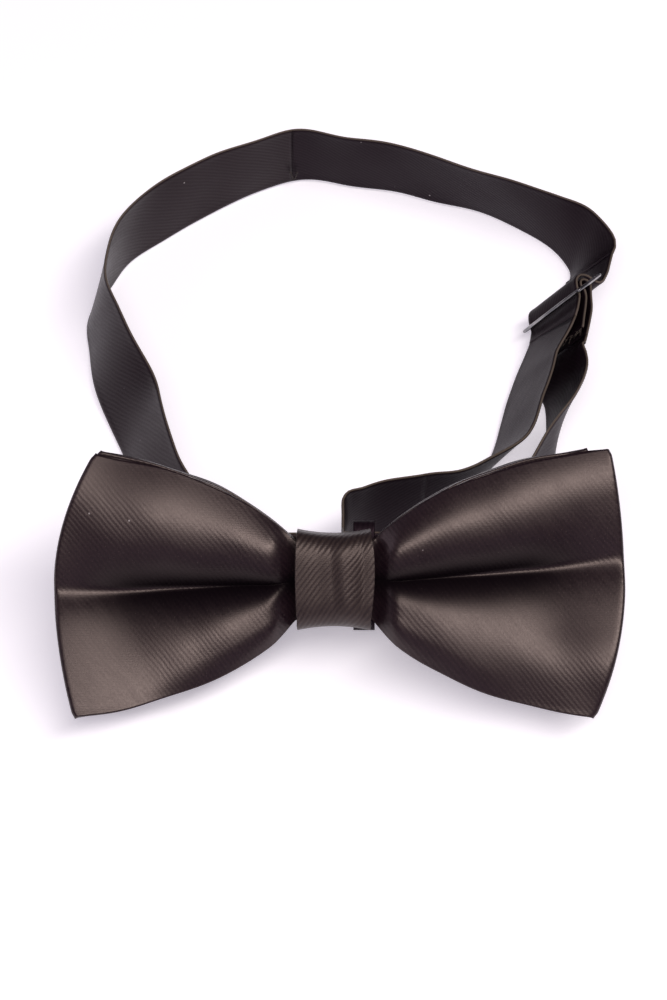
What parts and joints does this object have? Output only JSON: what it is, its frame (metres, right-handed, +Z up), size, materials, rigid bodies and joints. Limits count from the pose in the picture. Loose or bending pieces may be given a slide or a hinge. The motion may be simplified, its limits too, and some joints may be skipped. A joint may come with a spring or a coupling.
{
  "type": "pre-tied bow tie",
  "caption": "Dark satin pre-tied bow tie: two folded bows pinched by a knot wrap, on a neck strap with a metal length slider.",
  "frame": {"origin": "on the table, under the middle of the whole object", "axes": "+X along the bow towards the slider's side, -Y the way the bow faces, +Z up from the table"},
  "size_m": [0.1278, 0.163, 0.0435],
  "materials": {
    "satin": "near-black satin twill with a brown-grey sheen",
    "strap_satin": "near-black satin strap with paler folded edges",
    "thread": "dull black sewing thread",
    "slider_metal": "dark nickel-plated steel, worn bright on its edges"
  },
  "bodies": {
    "neck_strap": {"neck_band": "strap_satin", "adjusting_strap": "strap_satin", "band_back_tack": "thread"},
    "bow": {"front_bow": "satin", "rear_bow": "satin", "knot_wrap": "satin", "gathering_thread": "thread", "keeper_loop": "strap_satin", "sewn_band_end": "strap_satin", "band_end_stitches": "thread"},
    "strap_end": {"strap_end_fold": "strap_satin", "strap_end_stitches": "thread"},
    "slider": {"slider_frame": "slider_metal"}
  },
  "joints": [
    {"name": "bow_tilt", "type": "hinge", "parent": "neck_strap", "child": "bow", "pos_m": [-0.01033, -0.05573, 0.01751], "axis": [1, 0, 0], "range_deg": [-8, 35], "deforming": ["adjusting_strap", "neck_band"]},
    {"name": "slider_slide", "type": "slide", "parent": "neck_strap", "child": "strap_end", "axis": [-0.2402, -0.9707, 0], "range_m": [-0.004, 0.03], "deforming": ["adjusting_strap"]},
    {"name": "slider_tilt", "type": "hinge", "parent": "strap_end", "child": "slider", "pos_m": [0.05047, 0.03015, 0.01179], "axis": [0.5568, -0.1378, 0.8192], "range_deg": [-20, 20], "deforming": ["adjusting_strap"]}
  ]
}
